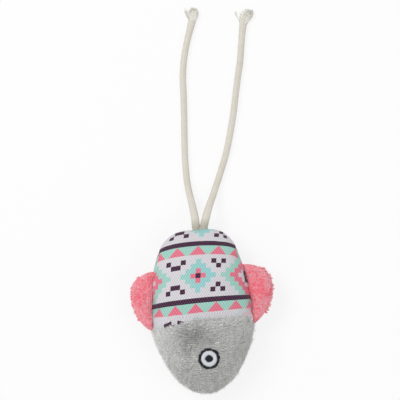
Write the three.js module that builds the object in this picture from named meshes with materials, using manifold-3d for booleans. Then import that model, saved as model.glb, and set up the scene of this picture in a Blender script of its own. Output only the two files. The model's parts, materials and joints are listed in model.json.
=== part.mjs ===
// Catnip fish cat toy, in millimetres. It lies on its back face: +Z is up, +Y runs to the tail, and the
// origin is on the table under the middle of the body and fins.
import * as THREE from "three";
import { mergeVertices } from "three/addons/utils/BufferGeometryUtils.js";
import Module from "manifold-3d";

// Body and head
const bodyLength = 97.6;
const bodyWidth = 61.4;
const noseToWidest = 37.3;
const noseToThickest = 50.8;
const frontHeight = 17;
const backDepth = 15;
const restFlat = 0.5;
const clothWall = 1.4;
const tailCurve = { across: 3.5, along: 2.2 };
const noseCurve = { across: 2, along: 1.5 };
const swell = { fullness: 2.4, edge: 0.62 };

// Neck seam, a shallow arch that leans a little
const neckMiddle = -6;
const neckSlope = 0.073;
const neckArch = 3;
const neckThreadShare = 0.84;

// Fins, leaf-shaped lobes with the tip nearer the tail
const finTop = 26.5;
const finBottom = -9;
const finReach = 13;
const finTipOffset = 4;
const finHeight = 4.5;
const finWall = 1.8;
const finTailCurve = { out: 1.8, along: 2 };
const finNoseCurve = { out: 1.6, along: 1.6 };
const finThickestShare = 0.45;
const finRootRadius = 0.7;
const finPinch = 6;
const finPinchLeft = 0.2;

// Tail cord
const cordDiameter = 3.8;
const cordSpacing = 4.8;
const cordMiddle = 1.7;
const foldDepth = 10;
const tackDepth = 4.5;
const frayLength = 7;

// Eyes and sachet
const eyeX = 2.4;
const eyeY = -28.5;
const eyeDiameter = 12.6;
const eyeWhiteDiameter = 9.8;
const pupilDiameter = 4.2;
const stitchHeight = 0.5;
const stitchShoulder = 0.3;
const sachetLength = 36;
const sachetWidth = 26;
const sachetThickness = 9;
const sachetY = 6;

// Thread, and the room left between pieces
const threadDiameter = 0.7;
const clearance = 0.3;
const facetSag = 0.25;
const lieGap = 0.05;
const overrun = 4;

// Mesh fineness
const quarterSteps = 10;
const bodyRings = 7;
const padRings = 4;
const cordSides = 8;
const cordSteps = 26;
const threadSides = 5;
const edgeSteps = 56;
const neckSteps = 12;
const cutSteps = 16;
const foldSteps = 18;
const lobeSteps = 18;
const rootSteps = 6;
const lensSides = 24;
const eyeSides = 20;
const tuftSides = 12;

const halfWidth = bodyWidth / 2;
const tailY = bodyLength / 2;
const widestY = noseToWidest - tailY;
const thickestY = noseToThickest - tailY;
const seamHeight = backDepth - restFlat + clearance / 2;
const threadRadius = threadDiameter / 2;
const cordRadius = cordDiameter / 2;
const cordRest = cordRadius + lieGap;
const threadInset = clothWall + clearance + threadRadius;

// The run of each strand from its root at the seam: sideways, outwards, and its share of the drop
// to the table
const leftRun = [
  [0, 0, 1], [-0.2, 4.5, 0.94], [-0.9, 9.7, 0.75], [-1.8, 15.2, 0.45], [-2.8, 20.5, 0.2],
  [-3.5, 26, 0.05], [-3.9, 31.5, 0], [-4, 43.5, 0], [-3.6, 55, 0], [-3, 67, 0], [-2.6, 79, 0],
  [-2.3, 91, 0], [-1, 101, 0], [1.2, 110.5, 0], [4.1, 120, 0], [5.4, 124, 0],
];
const rightRun = [
  [0, 0, 1], [1.3, 4.2, 0.94], [3, 9.1, 0.75], [5.1, 14.4, 0.45], [7.3, 19.6, 0.2],
  [9.4, 25, 0.05], [11.6, 30.5, 0], [15.8, 42, 0], [19.2, 54.5, 0], [21.8, 66, 0], [23.8, 77, 0],
  [26, 88.5, 0], [27.9, 98, 0], [29.3, 108.5, 0], [30.7, 118, 0], [31.5, 121.6, 0],
];

const wasm = await Module();
wasm.setup();

// Closed geometry to a solid that can be cut, and back
function toSolid(geometry) {
  const bare = geometry.clone();
  bare.deleteAttribute("normal");
  bare.deleteAttribute("uv");
  const merged = mergeVertices(bare, 1e-4);
  const mesh = new wasm.Mesh({
    numProp: 3,
    vertProperties: new Float32Array(merged.attributes.position.array),
    triVerts: new Uint32Array(merged.index.array),
  });
  return new wasm.Manifold(mesh);
}

function toGeometry(solid) {
  const mesh = solid.getMesh();
  const geometry = new THREE.BufferGeometry();
  geometry.setAttribute("position", new THREE.BufferAttribute(mesh.vertProperties, 3));
  geometry.setIndex(new THREE.BufferAttribute(mesh.triVerts, 1));
  return geometry;
}

function boxSolid(low, high) {
  const geometry = new THREE.BoxGeometry(high[0] - low[0], high[1] - low[1], high[2] - low[2]);
  geometry.translate((low[0] + high[0]) / 2, (low[1] + high[1]) / 2, (low[2] + high[2]) / 2);
  return toSolid(geometry);
}

// Half the body's width at a height along it
function outlineHalfWidth(y) {
  const curve = y > widestY ? tailCurve : noseCurve;
  const reach = y > widestY ? tailY - widestY : noseToWidest;
  const share = Math.min(1, Math.abs(y - widestY) / reach);
  return halfWidth * (1 - share ** curve.along) ** (1 / curve.across);
}

// The body's outline, counter-clockwise from the tail
function bodyOutline() {
  const side = [];
  for (let step = 0; step < quarterSteps; step++) {
    const angle = (step / quarterSteps) * (Math.PI / 2);
    const x = halfWidth * Math.sin(angle) ** (2 / tailCurve.across);
    const y = widestY + (tailY - widestY) * Math.cos(angle) ** (2 / tailCurve.along);
    side.push(new THREE.Vector2(-x, y));
  }
  for (let step = 0; step <= quarterSteps; step++) {
    const angle = (step / quarterSteps) * (Math.PI / 2);
    const x = halfWidth * Math.max(0, Math.cos(angle)) ** (2 / noseCurve.across);
    const y = widestY - noseToWidest * Math.sin(angle) ** (2 / noseCurve.along);
    side.push(new THREE.Vector2(-x, y));
  }
  side[side.length - 1].x = 0;
  const other = side.slice(1, -1).reverse().map((point) => new THREE.Vector2(-point.x, point.y));
  return [...side, ...other];
}

function insetPoint(point, centre, inset) {
  const away = point.clone().sub(centre);
  return centre.clone().add(away.setLength(away.length() - inset));
}

// How far a sewn, stuffed panel swells at a share of the way from its middle to its edge
function swellAt(share) {
  return (1 - Math.min(1, share) ** swell.fullness) ** swell.edge;
}

// A closed dome over an outline, its rim at z = 0, with a straight skirt below the rim
function domeGeometry(outline, centre, height, inset, skirt, rings) {
  const sides = outline.length;
  const inner = outline.map((point) => insetPoint(point, centre, inset));
  const points = [new THREE.Vector3(centre.x, centre.y, height - inset)];
  for (let ring = 1; ring <= rings; ring++) {
    const share = ring === rings ? 1 : Math.sin((ring / rings) * (Math.PI / 2));
    for (const point of inner) {
      const at = centre.clone().lerp(point, share);
      points.push(new THREE.Vector3(at.x, at.y, (height - inset) * swellAt(share)));
    }
  }
  const rows = skirt > 0 ? rings + 1 : rings;
  if (skirt > 0) {
    for (const point of inner) points.push(new THREE.Vector3(point.x, point.y, -skirt));
  }
  const foot = points.length;
  points.push(new THREE.Vector3(centre.x, centre.y, -skirt));
  const faces = [];
  const vertex = (row, side) => 1 + (row - 1) * sides + (side % sides);
  for (let side = 0; side < sides; side++) {
    faces.push(0, vertex(1, side), vertex(1, side + 1));
    for (let row = 1; row < rows; row++) {
      faces.push(vertex(row, side), vertex(row + 1, side), vertex(row + 1, side + 1));
      faces.push(vertex(row, side), vertex(row + 1, side + 1), vertex(row, side + 1));
    }
    faces.push(foot, vertex(rows, side + 1), vertex(rows, side));
  }
  const geometry = new THREE.BufferGeometry().setFromPoints(points);
  geometry.setIndex(faces);
  return geometry;
}

const outline = bodyOutline();
const middle = new THREE.Vector2(0, thickestY);

// Distance from the thickest place to the outline, towards a point
function outlineReach(dx, dy) {
  const size = Math.hypot(dx, dy);
  let low = 0;
  let high = bodyLength;
  for (let turn = 0; turn < 50; turn++) {
    const reach = (low + high) / 2;
    const y = thickestY + (dy / size) * reach;
    const inside = Math.abs(y) < tailY && Math.abs((dx / size) * reach) < outlineHalfWidth(y);
    if (inside) low = reach;
    else high = reach;
  }
  return low;
}

// Height of the swollen panel above its rim, with the panel moved in by an inset
function panelHeight(x, y, height, inset) {
  const distance = Math.hypot(x, y - thickestY);
  if (distance < 1e-6) return height - inset;
  return (height - inset) * swellAt(distance / (outlineReach(x, y - thickestY) - inset));
}

function neckY(x) {
  return neckMiddle + neckSlope * x - neckArch * (x / halfWidth) ** 2;
}

// All that lies on one side of the neck seam, as a block with the seam's curve for an edge
function neckBlock(sense) {
  const reach = halfWidth + overrun;
  const far = sense * bodyLength;
  const shape = new THREE.Shape();
  shape.moveTo(-reach, far);
  for (let step = 0; step <= cutSteps; step++) {
    const x = -reach + (2 * reach * step) / cutSteps;
    shape.lineTo(x, neckY(x) + (sense * clearance) / 2);
  }
  shape.lineTo(reach, far);
  const geometry = new THREE.ExtrudeGeometry(shape, { depth: 4 * bodyLength, bevelEnabled: false });
  geometry.translate(0, 0, -2 * bodyLength);
  return toSolid(geometry);
}

function roundSection(radius, sides) {
  const corners = [];
  for (let side = 0; side < sides; side++) {
    const angle = (2 * Math.PI * side) / sides;
    corners.push(new THREE.Vector2(radius * Math.cos(angle), radius * Math.sin(angle)));
  }
  return new THREE.Shape(corners);
}

function tubeGeometry(points, radius, sides, steps) {
  const path = new THREE.CatmullRomCurve3(points);
  return new THREE.ExtrudeGeometry(roundSection(radius, sides), { steps, extrudePath: path });
}

// Places a front piece above the seam, or turns it over to make the back piece below it
function lift(geometry) {
  return geometry.clone().translate(0, 0, seamHeight + clearance / 2);
}

function turnOver(geometry) {
  return geometry.clone().rotateY(Math.PI).translate(0, 0, seamHeight - clearance / 2);
}

// Seam threads
const edgePath = outline.slice(1).map((point) => {
  const at = insetPoint(point, middle, threadInset);
  return new THREE.Vector3(at.x, at.y, seamHeight);
});
const neckReach = neckThreadShare * halfWidth;

function neckPath(height, sense) {
  const path = [];
  for (let step = 0; step <= neckSteps; step++) {
    const x = -neckReach + (2 * neckReach * step) / neckSteps;
    const y = neckY(x);
    const below = panelHeight(x, y, height, clothWall) - facetSag - clearance - threadRadius;
    path.push(new THREE.Vector3(x, y, seamHeight + sense * (clearance / 2 + below)));
  }
  return path;
}
const frontNeckPath = neckPath(frontHeight, 1);
const backNeckPath = neckPath(backDepth, -1);

// The sewn-in fold of the cord: two legs and a half turn
const legX = [cordMiddle - cordSpacing / 2, cordMiddle + cordSpacing / 2];
const foldPath = new THREE.CurvePath();
const turnY = tailY - foldDepth + cordRadius + cordSpacing / 2;
const legPoint = (side, y) => new THREE.Vector3(legX[side], y, seamHeight);
class HalfTurn extends THREE.Curve {
  getPoint(share, target = new THREE.Vector3()) {
    const angle = Math.PI * (1 + share);
    const x = cordMiddle + (cordSpacing / 2) * Math.cos(angle);
    const y = turnY + (cordSpacing / 2) * Math.sin(angle);
    return target.set(x, y, seamHeight);
  }
}
foldPath.add(new THREE.LineCurve3(legPoint(0, tailY), legPoint(0, turnY)));
foldPath.add(new HalfTurn());
foldPath.add(new THREE.LineCurve3(legPoint(1, turnY), legPoint(1, tailY)));
const foldSection = roundSection(cordRadius, cordSides);
const foldGeometry = new THREE.ExtrudeGeometry(foldSection, { steps: foldSteps, extrudePath: foldPath });

// The gap in the seam that the two legs leave through
function cordSlot() {
  const radius = cordRadius + clearance;
  const shape = new THREE.Shape();
  shape.absarc(legX[1], 0, radius, -Math.PI / 2, Math.PI / 2);
  shape.absarc(legX[0], 0, radius, Math.PI / 2, (3 * Math.PI) / 2);
  const depth = foldDepth + overrun;
  const geometry = new THREE.ExtrudeGeometry(shape, { depth, curveSegments: 6, bevelEnabled: false });
  geometry.rotateX(Math.PI / 2).translate(0, tailY + overrun, seamHeight);
  return toSolid(geometry);
}

// A loop of thread round both legs
function tackGeometry() {
  const loop = new THREE.TorusGeometry(cordRadius + clearance + threadRadius, threadRadius, 6, 16);
  const place = loop.attributes.position;
  for (let index = 0; index < place.count; index++) {
    const x = place.getX(index);
    if (Math.abs(x) > 1e-6 + threadRadius) place.setX(index, x + (Math.sign(x) * cordSpacing) / 2);
  }
  return loop.rotateX(Math.PI / 2).translate(cordMiddle, tailY - tackDepth, seamHeight);
}

// Panels
const shell = toGeometry(
  toSolid(domeGeometry(outline, middle, frontHeight, 0, 0, bodyRings)).subtract(
    toSolid(domeGeometry(outline, middle, frontHeight, clothWall, 1, bodyRings)),
  ),
);
const backShell = toGeometry(
  toSolid(domeGeometry(outline, middle, backDepth, 0, 0, bodyRings)).subtract(
    toSolid(domeGeometry(outline, middle, backDepth, clothWall, 1, bodyRings)),
  ),
);
const aboveTable = boxSolid([-bodyLength, -bodyLength, 0], [bodyLength, bodyLength, bodyLength]);
const tailBlock = neckBlock(1);
const headBlock = neckBlock(-1);
const slot = cordSlot();
const frontShell = toSolid(lift(shell));
const lowerShell = toSolid(turnOver(backShell)).intersect(aboveTable);

// Sachet, the same lens on both sides of the seam plane, and the hollow it lies in
function lensSolid(length, width, thickness, y) {
  const rim = [];
  for (let step = 0; step < lensSides; step++) {
    const angle = (2 * Math.PI * step) / lensSides;
    rim.push(new THREE.Vector2((width / 2) * Math.cos(angle), y + (length / 2) * Math.sin(angle)));
  }
  const half = domeGeometry(rim, new THREE.Vector2(0, y), thickness / 2, 0, 0, padRings);
  const under = half.clone().rotateY(Math.PI);
  return toSolid(half).add(toSolid(under)).translate([0, 0, seamHeight]);
}
const sachet = lensSolid(sachetLength, sachetWidth, sachetThickness, sachetY);
const roomRound = 2 * clearance + 2 * facetSag;
const sachetHollow = lensSolid(
  sachetLength + roomRound,
  sachetWidth + roomRound,
  sachetThickness + roomRound,
  sachetY,
);

// Filling: inside the panels, cleared of threads, sachet and cord fold
const tackReach = cordSpacing / 2 + cordRadius + threadDiameter + 2 * clearance;
const tackRise = cordRadius + threadDiameter + 2 * clearance;
const cordPocket = boxSolid(
  [cordMiddle - tackReach, tailY - foldDepth - clearance, seamHeight - tackRise],
  [cordMiddle + tackReach, tailY + overrun, seamHeight + tackRise],
);
const fillInset = clothWall + clearance;
const seamGap = threadRadius + clearance;
const grooveRadius = threadRadius + clearance + facetSag;
const seamRoom = boxSolid(
  [-bodyWidth, -bodyLength, seamHeight - seamGap],
  [bodyWidth, bodyLength, seamHeight + seamGap],
);

function fillingSolid(placed, path) {
  return toSolid(placed)
    .subtract(seamRoom)
    .subtract(toSolid(tubeGeometry(path, grooveRadius, threadSides, neckSteps)))
    .subtract(sachetHollow)
    .subtract(cordPocket);
}
const frontWad = domeGeometry(outline, middle, frontHeight, fillInset, 0, bodyRings);
const backWad = domeGeometry(outline, middle, backDepth, fillInset, 0, bodyRings);
const frontFilling = fillingSolid(lift(frontWad), frontNeckPath);
const backFilling = fillingSolid(turnOver(backWad), backNeckPath);

// Embroidered eye: rings and a disc of raised stitches laid on the swollen head
function stitchedRing(innerRadius, outerRadius, sense, height) {
  const mid = (innerRadius + outerRadius) / 2;
  const profile = [[innerRadius, 0], [outerRadius, 0], [outerRadius, stitchShoulder], [mid, stitchHeight]];
  if (innerRadius > 0) profile.push([innerRadius, stitchShoulder], [innerRadius, 0]);
  else profile.push([0, stitchHeight]);
  const points = profile.map(([radius, up]) => new THREE.Vector2(radius, up));
  const ring = new THREE.LatheGeometry(points, eyeSides).rotateX(Math.PI / 2);
  const place = ring.attributes.position;
  for (let index = 0; index < place.count; index++) {
    const x = place.getX(index) + sense * eyeX;
    const y = place.getY(index) + eyeY;
    const z = place.getZ(index) + panelHeight(x, y, height, 0) + clearance;
    place.setXYZ(index, x, y, z);
  }
  return sense > 0 ? lift(ring) : turnOver(ring);
}
const pupilRadius = pupilDiameter / 2;
const whiteRadius = eyeWhiteDiameter / 2;
const eyeRadius = eyeDiameter / 2;

// Fins: a hinge line beside the bowed edge of the body, and a leaf-shaped padded lobe beyond it
const finChordTop = new THREE.Vector2(outlineHalfWidth(finTop), finTop);
const finChordBottom = new THREE.Vector2(outlineHalfWidth(finBottom), finBottom);
const finChord = finChordTop.clone().sub(finChordBottom);
const finOut = new THREE.Vector2(finChord.y, -finChord.x).normalize();
let edgeBow = 0;
for (let step = 0; step <= 40; step++) {
  const y = finBottom + ((finTop - finBottom) * step) / 40;
  const edge = new THREE.Vector2(outlineHalfWidth(y), y).sub(finChordBottom);
  edgeBow = Math.max(edgeBow, edge.dot(finOut));
}
const finRoot = finChordTop.clone().add(finChordBottom).multiplyScalar(0.5);
finRoot.addScaledVector(finOut, edgeBow + clearance + finRootRadius);
const finTurn = Math.atan2(finOut.y, finOut.x);
const finHalf = finChord.length() / 2;

// The lobe's outline on one side of the body, counter-clockwise from its nose end; x is the distance
// out from the hinge line
function finOutline(side) {
  const points = [];
  const reach = finReach + finRootRadius;
  for (let step = 0; step <= lobeSteps; step++) {
    const angle = -Math.PI / 2 + (Math.PI * step) / lobeSteps;
    const curve = angle > 0 ? finTailCurve : finNoseCurve;
    const length = angle > 0 ? finHalf - finTipOffset : finHalf + finTipOffset;
    const out = step === 0 || step === lobeSteps ? 0 : reach * Math.cos(angle) ** (2 / curve.out);
    const along = Math.sign(angle) * length * Math.abs(Math.sin(angle)) ** (2 / curve.along);
    points.push(new THREE.Vector2(out - finRootRadius, side * (finTipOffset + along)));
  }
  for (let step = 1; step < rootSteps; step++) {
    points.push(new THREE.Vector2(-finRootRadius, side * finHalf * (1 - (2 * step) / rootSteps)));
  }
  return side > 0 ? points : points.reverse();
}

// A dome of the fin, pinched thin where it is sewn to the body
function finDome(rim, side, height, inset, skirt) {
  const dome = domeGeometry(rim, finMiddle(side), height, inset, skirt, padRings);
  const place = dome.attributes.position;
  for (let index = 0; index < place.count; index++) {
    const share = (place.getX(index) + finRootRadius) / finPinch;
    const left = Math.min(1, finPinchLeft + (1 - finPinchLeft) * share);
    if (place.getZ(index) > 0) place.setZ(index, place.getZ(index) * left);
  }
  return dome;
}

function finMiddle(side) {
  return new THREE.Vector2(finReach * finThickestShare, (side * finTipOffset) / 2);
}

function placeFin(geometry, side) {
  const turn = side > 0 ? finTurn : Math.PI - finTurn;
  return geometry.clone().rotateZ(turn).translate(side * finRoot.x, finRoot.y, seamHeight);
}

function finShell(side, sense) {
  const rim = finOutline(sense * side);
  const outer = toSolid(finDome(rim, sense * side, finHeight, 0, 0));
  const hollow = toSolid(finDome(rim, sense * side, finHeight, finWall, overrun));
  const shell = toGeometry(outer.subtract(hollow));
  if (sense < 0) shell.rotateX(Math.PI);
  return placeFin(shell.translate(0, 0, (sense * clearance) / 2), side);
}

function finThread(side) {
  const lobe = finOutline(side).filter((point) => point.x > finPinch / 2);
  const path = lobe.map((point) => {
    const at = insetPoint(point, finMiddle(side), finWall + clearance + threadRadius);
    return new THREE.Vector3(at.x, at.y, 0);
  });
  return placeFin(tubeGeometry(path, threadRadius, threadSides, lobeSteps), side);
}

function finFilling(side) {
  const inset = finWall + 2 * clearance + threadDiameter;
  const height = finHeight - finWall - clearance / 2;
  const halves = [1, -1].map((sense) => {
    const centre = finMiddle(sense * side);
    const rim = finOutline(sense * side).map((point) => insetPoint(point, centre, inset));
    const half = finDome(rim, sense * side, height, 0, 0);
    return toSolid(sense > 0 ? half : half.rotateX(Math.PI));
  });
  return placeFin(toGeometry(halves[0].add(halves[1])), side);
}

// Free strands: a short root that lifts, the long strand that swings on it, and the frayed tip
function strandPoints(side, run) {
  const rootY = tailY + clearance + cordRadius;
  const drop = seamHeight - cordRest;
  return run.map(([across, out, share]) => {
    return new THREE.Vector3(legX[side] + across, rootY + out, cordRest + share * drop);
  });
}

function rootGeometry(points) {
  const along = points[1].clone().sub(points[0]);
  const capsule = new THREE.CapsuleGeometry(cordRadius, along.length(), 4, 10);
  const straight = new THREE.Vector3(0, 1, 0);
  const turn = new THREE.Quaternion().setFromUnitVectors(straight, along.clone().normalize());
  const mid = points[0].clone().add(points[1]).multiplyScalar(0.5);
  return capsule.applyQuaternion(turn).translate(mid.x, mid.y, mid.z);
}

function strandGeometry(points) {
  const start = points[2].clone().sub(points[1]).setLength(cordRadius + clearance).add(points[1]);
  return tubeGeometry([start, ...points.slice(2)], cordRadius, cordSides, cordSteps);
}

// A splayed tuft, no thicker than the cord where it lies on the table
function frayGeometry(points) {
  const end = points[points.length - 1];
  const along = end.clone().sub(points[points.length - 2]).normalize();
  const profile = [[0, 0], [1, 0], [1.15, 0.25], [1.7, 0.65], [2, 0.9], [1.6, 1], [0, 0.97]];
  const tuft = new THREE.LatheGeometry(
    profile.map(([wide, far]) => new THREE.Vector2(wide * cordRadius, far * frayLength)),
    tuftSides,
  );
  const place = tuft.attributes.position;
  for (let index = 0; index < place.count; index++) {
    place.setZ(index, THREE.MathUtils.clamp(place.getZ(index), -cordRadius, cordRadius));
  }
  const foot = end.clone().addScaledVector(along, clearance);
  return tuft.rotateZ(-Math.atan2(along.x, along.y)).translate(foot.x, foot.y, foot.z);
}
const leftPoints = strandPoints(0, leftRun);
const rightPoints = strandPoints(1, rightRun);

// The toy
const print = { color: 0xd9d6e2, roughness: 0.9 };
const plush = { color: 0xa4a4a2, roughness: 1 };
const terry = { color: 0xf57882, roughness: 1 };
const cotton = { color: 0xd8d0c2, roughness: 0.95 };
const blackThread = { color: 0x26252a, roughness: 0.7 };
const whiteThread = { color: 0xe6e6e4, roughness: 0.7 };
const seamThread = { color: 0xcfcdd0, roughness: 0.8 };
const fibre = { color: 0xf0efec, roughness: 1 };
const sachetCloth = { color: 0xc9c3a8, roughness: 1 };

const group = new THREE.Group();
group.name = "catnip_fish";

function add(name, geometry, look) {
  const mesh = new THREE.Mesh(geometry, new THREE.MeshStandardMaterial(look));
  mesh.name = name;
  group.add(mesh);
}

add("body_front_panel", toGeometry(frontShell.intersect(tailBlock).subtract(slot)), print);
add("body_back_panel", toGeometry(lowerShell.intersect(tailBlock).subtract(slot)), print);
add("head_front_panel", toGeometry(frontShell.intersect(headBlock)), plush);
add("head_back_panel", toGeometry(lowerShell.intersect(headBlock)), plush);
add("front_filling", toGeometry(frontFilling), fibre);
add("back_filling", toGeometry(backFilling), fibre);
add("catnip_sachet", toGeometry(sachet), sachetCloth);
add("edge_seam_thread", tubeGeometry(edgePath, threadRadius, threadSides, edgeSteps), seamThread);
add("neck_seam_front_thread", tubeGeometry(frontNeckPath, threadRadius, threadSides, neckSteps), seamThread);
add("neck_seam_back_thread", tubeGeometry(backNeckPath, threadRadius, threadSides, neckSteps), seamThread);
add("front_eye_ring", stitchedRing(whiteRadius + clearance, eyeRadius, 1, frontHeight), blackThread);
add("front_eye_white", stitchedRing(pupilRadius + clearance, whiteRadius, 1, frontHeight), whiteThread);
add("front_eye_pupil", stitchedRing(0, pupilRadius, 1, frontHeight), blackThread);
add("back_eye_ring", stitchedRing(whiteRadius + clearance, eyeRadius, -1, backDepth), blackThread);
add("back_eye_white", stitchedRing(pupilRadius + clearance, whiteRadius, -1, backDepth), whiteThread);
add("back_eye_pupil", stitchedRing(0, pupilRadius, -1, backDepth), blackThread);
add("tail_cord_fold", foldGeometry, cotton);
add("tail_bar_tack", tackGeometry(), seamThread);
for (const [name, side] of [["left", -1], ["right", 1]]) {
  add(`${name}_fin_front`, finShell(side, 1), terry);
  add(`${name}_fin_back`, finShell(side, -1), terry);
  add(`${name}_fin_filling`, finFilling(side), fibre);
  add(`${name}_fin_seam_thread`, finThread(side), seamThread);
}
for (const [name, points] of [["left", leftPoints], ["right", rightPoints]]) {
  add(`${name}_cord_root`, rootGeometry(points), cotton);
  add(`${name}_tail_cord`, strandGeometry(points), cotton);
  add(`${name}_frayed_tip`, frayGeometry(points), cotton);
}

export default group;
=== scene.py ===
# %% [markdown]
# # A stuffed fish for a cat
# The toy is a flat little pillow: a printed cotton body and a grey plush head sewn together at the neck,
# two padded terry fins, an embroidered eye and a doubled cotton cord for a tail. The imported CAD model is
# the frame: it says where each piece is and how it moves. This script dresses it, piece by piece, with
# surfaces worked out in numpy. All lengths are metres, so sizes are written as a number times `mm`.

# %% Load the frame
import json
import math
import bpy
import numpy as np
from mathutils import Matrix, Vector


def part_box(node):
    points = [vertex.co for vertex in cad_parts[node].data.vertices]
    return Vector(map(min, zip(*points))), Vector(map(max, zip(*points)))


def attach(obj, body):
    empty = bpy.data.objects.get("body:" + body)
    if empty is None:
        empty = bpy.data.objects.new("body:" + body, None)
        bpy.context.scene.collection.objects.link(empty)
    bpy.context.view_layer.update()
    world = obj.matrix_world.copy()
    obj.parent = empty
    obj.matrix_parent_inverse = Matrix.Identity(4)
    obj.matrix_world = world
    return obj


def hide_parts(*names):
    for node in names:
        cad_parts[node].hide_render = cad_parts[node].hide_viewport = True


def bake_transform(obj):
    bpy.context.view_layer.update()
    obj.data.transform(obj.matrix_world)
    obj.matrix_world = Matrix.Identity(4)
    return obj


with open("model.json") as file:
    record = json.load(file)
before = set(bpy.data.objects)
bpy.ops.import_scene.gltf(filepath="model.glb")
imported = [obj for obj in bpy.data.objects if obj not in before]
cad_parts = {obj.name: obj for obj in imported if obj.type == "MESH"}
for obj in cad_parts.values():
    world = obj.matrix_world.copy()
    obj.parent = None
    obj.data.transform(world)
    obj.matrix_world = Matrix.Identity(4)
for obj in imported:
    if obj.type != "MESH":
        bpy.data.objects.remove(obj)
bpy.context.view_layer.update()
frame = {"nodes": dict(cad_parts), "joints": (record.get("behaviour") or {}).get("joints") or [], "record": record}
mm = 0.001
joint_at = {joint["name"]: Vector(joint["pos_m"]) for joint in frame["joints"]}
seam_z = joint_at["left_cord_lift"].z
tail_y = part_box("tail_cord_fold")[1].y
nose_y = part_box("head_front_panel")[0].y
print("seam height, nose and tail in mm:", [round(v / mm, 2) for v in (seam_z, nose_y, tail_y)])

# %% [markdown]
# ## Camera, floor and light
# The photograph looks straight down at the toy, which lies a little turned. A long lens from far away
# keeps the strands on the table and the top of the body at nearly the same scale. The floor is white to
# the camera but still takes a part of the shadow, and a big soft lamp over a bright world gives the flat
# light of a catalogue picture.

# %% Camera
picture_width = 240 * mm
picture_centre = Vector((2.75 * mm, 66.7 * mm, seam_z))
picture_turn = math.radians(3.5)
lens, sensor, camera_reach = 400.0, 36.0, 20.0

camera_data = bpy.data.cameras.new("camera")
camera_data.lens, camera_data.sensor_width, camera_data.clip_end = lens, sensor, camera_reach
camera = bpy.data.objects.new("camera", camera_data)
camera.location = picture_centre + Vector((0, 0, picture_width * lens / sensor))
camera.rotation_euler = (0, 0, -picture_turn)
bpy.context.collection.objects.link(camera)
bpy.context.scene.camera = camera
print("camera height in m:", round(camera.location.z, 3))

# %% Mesh from arrays
def add_piece(name, points, faces, finish=None):
    """A mesh object at the origin: points is an array (n, 3), faces an array of 3 or 4 point numbers."""
    corners = faces.shape[1]
    mesh = bpy.data.meshes.new(name)
    mesh.vertices.add(len(points))
    mesh.vertices.foreach_set("co", points.astype(np.float32).ravel())
    mesh.loops.add(faces.size)
    mesh.loops.foreach_set("vertex_index", faces.astype(np.int32).ravel())
    mesh.polygons.add(len(faces))
    mesh.polygons.foreach_set("loop_start", np.arange(0, faces.size, corners, dtype=np.int32))
    mesh.update(calc_edges=True)
    mesh.validate()
    mesh.shade_smooth()
    if finish:
        mesh.materials.append(finish)
    piece = bpy.data.objects.new(name, mesh)
    bpy.context.collection.objects.link(piece)
    return piece


print("meshes are filled from whole arrays")

# %% [markdown]
# ## Finishes as expressions
# A finish is a node tree. Writing it as Python expressions keeps it readable: one small class wraps an
# output socket, its operators add Math nodes, and one method adds any other node.

# %% Wire class
class Wire:
    """An output socket of a shader node tree. Arithmetic on wires adds Math nodes."""

    def __init__(self, tree, socket=None):
        self.tree, self.socket = tree, socket

    def node(self, kind, settings=None, inputs=None, output=0):
        """Adds any node: first its settings, then the values or links of its sockets."""
        made = self.tree.nodes.new(kind)
        for name, value in (settings or {}).items():
            setattr(made, name, value)
        for name, value in (inputs or {}).items():
            if isinstance(value, Wire):
                self.tree.links.new(value.socket, made.inputs[name])
            else:
                made.inputs[name].default_value = value
        return Wire(self.tree, made.outputs[output])

    def math(self, operation, *values):
        """Adds a Math node."""
        return self.node("ShaderNodeMath", {"operation": operation}, dict(enumerate(values)))

    def clipped(self, low, high):
        """The value, kept between two limits."""
        return self.math("MINIMUM", self.math("MAXIMUM", self, low), high)

    def __add__(self, other):
        return self.math("ADD", self, other)

    def __sub__(self, other):
        return self.math("SUBTRACT", self, other)

    def __rsub__(self, other):
        return self.math("SUBTRACT", other, self)

    def __mul__(self, other):
        return self.math("MULTIPLY", self, other)

    def __truediv__(self, other):
        return self.math("DIVIDE", self, other)

    def __lt__(self, other):
        return self.math("LESS_THAN", self, other)

    def __gt__(self, other):
        return self.math("GREATER_THAN", self, other)

    def __abs__(self):
        return self.math("ABSOLUTE", self)

    __radd__ = __add__
    __rmul__ = __mul__


print("finishes are written as expressions on wires")

# %% Helpers for finishes
cloth_specular = 0.2


def colour(red, green, blue):
    """A colour as seen on screen, 0 to 255, as the linear values that a shader takes."""
    shares = [channel / 255 for channel in (red, green, blue)]
    linear = [s / 12.92 if s <= 0.04045 else ((s + 0.055) / 1.055) ** 2.4 for s in shares]
    return (*linear, 1.0)


def over(mask, under, top):
    """The top colour where the mask is 1, the under colour where it is 0."""
    return mask.node("ShaderNodeMix", {"data_type": "RGBA"}, {0: mask, 6: under, 7: top}, output=2)


def noise(place, scale, detail=2.0):
    """Soft random values from 0 to 1; scale is how many bumps there are in a metre."""
    return place.node("ShaderNodeTexNoise", None, {"Vector": place, "Scale": scale, "Detail": detail})


def uneven(place, scale, amount):
    """Noise that adds or takes away up to half the amount."""
    return (noise(place, scale) - 0.5) * amount


def axes(vector):
    """The x, y and z of a vector."""
    split = vector.node("ShaderNodeSeparateXYZ", None, {0: vector}).socket.node
    return [Wire(vector.tree, output) for output in split.outputs]


def new_finish(name, roughness, sheen):
    """A cloth material. Returns it, its shader and its object coordinates, where other nodes start."""
    material = bpy.data.materials.new(name)
    material.use_nodes = True
    shader = material.node_tree.nodes["Principled BSDF"]
    shader.inputs["Roughness"].default_value = roughness
    shader.inputs["Specular IOR Level"].default_value = cloth_specular
    shader.inputs["Sheen Weight"].default_value = sheen
    return material, shader, Wire(material.node_tree).node("ShaderNodeTexCoord", output="Object")


def feed(shader, socket, wire):
    """Links a wire to one of the shader's sockets."""
    wire.tree.links.new(wire.socket, shader.inputs[socket])


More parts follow.
